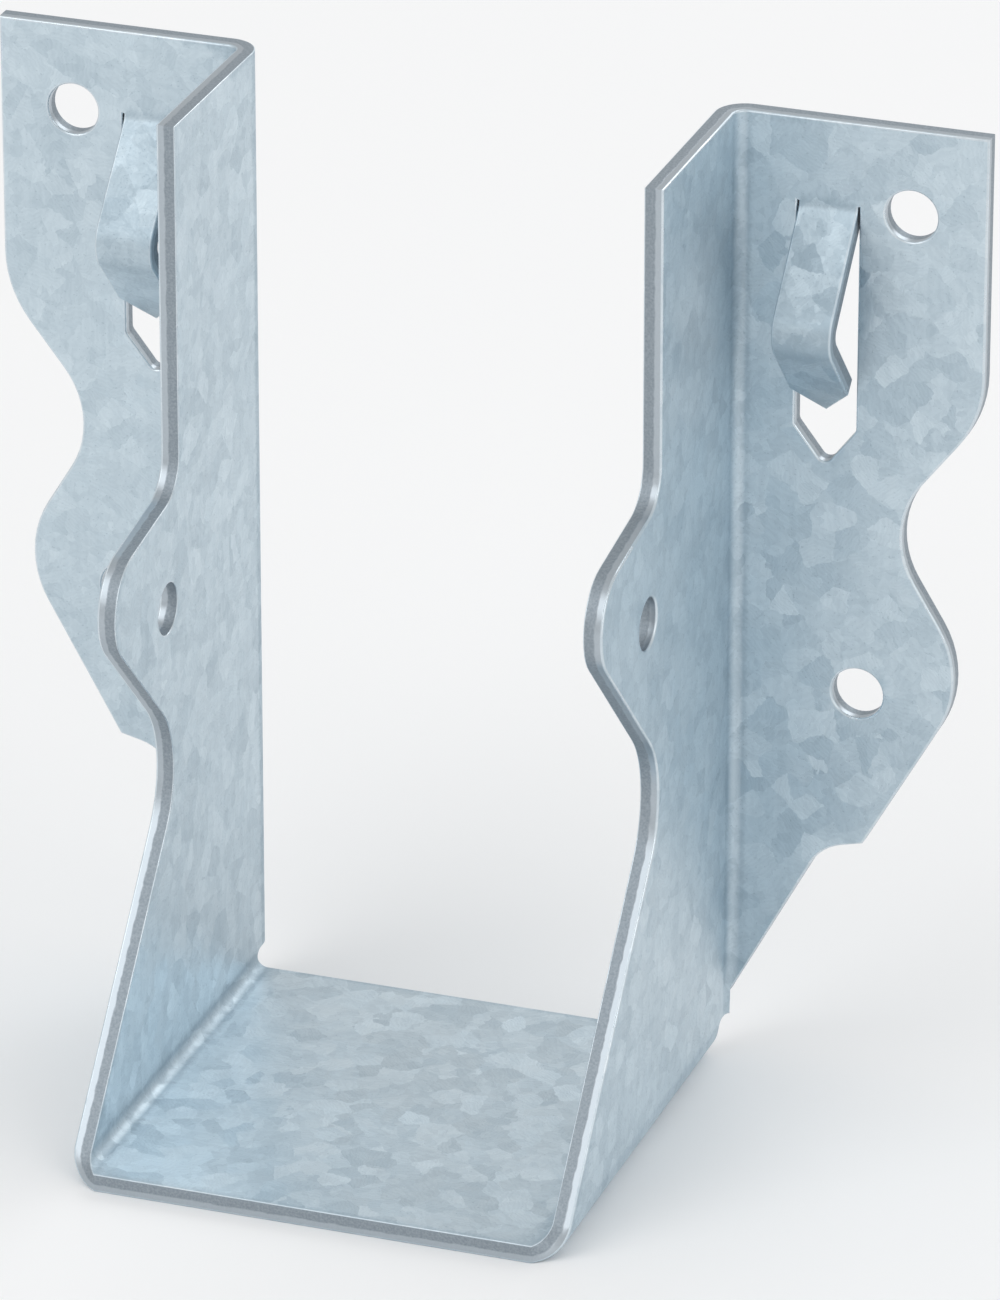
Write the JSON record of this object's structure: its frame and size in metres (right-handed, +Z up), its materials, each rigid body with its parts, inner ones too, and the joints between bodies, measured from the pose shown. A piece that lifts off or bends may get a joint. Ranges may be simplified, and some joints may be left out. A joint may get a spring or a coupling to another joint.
{
  "type": "joist hanger",
  "caption": "Face-mount hanger folded from steel sheet: a seat between lobed walls and nailing flanges with struck prongs, to hang a narrow timber joist on a header.",
  "frame": {"origin": "middle of the seat's bearing face, where the underside of the joist's end rests", "axes": "+Z up out of the seat, +Y into the header beam, +X across the joist to the right of someone facing the header"},
  "size_m": [0.0852, 0.0444, 0.084],
  "materials": {
    "galvanised_sheet": "pale blue-grey hot-dip galvanised, satin, with a fine soft spangle and bare sheared edges"
  },
  "bodies": {
    "root": {"hanger": "galvanised_sheet"}
  },
  "joints": []
}
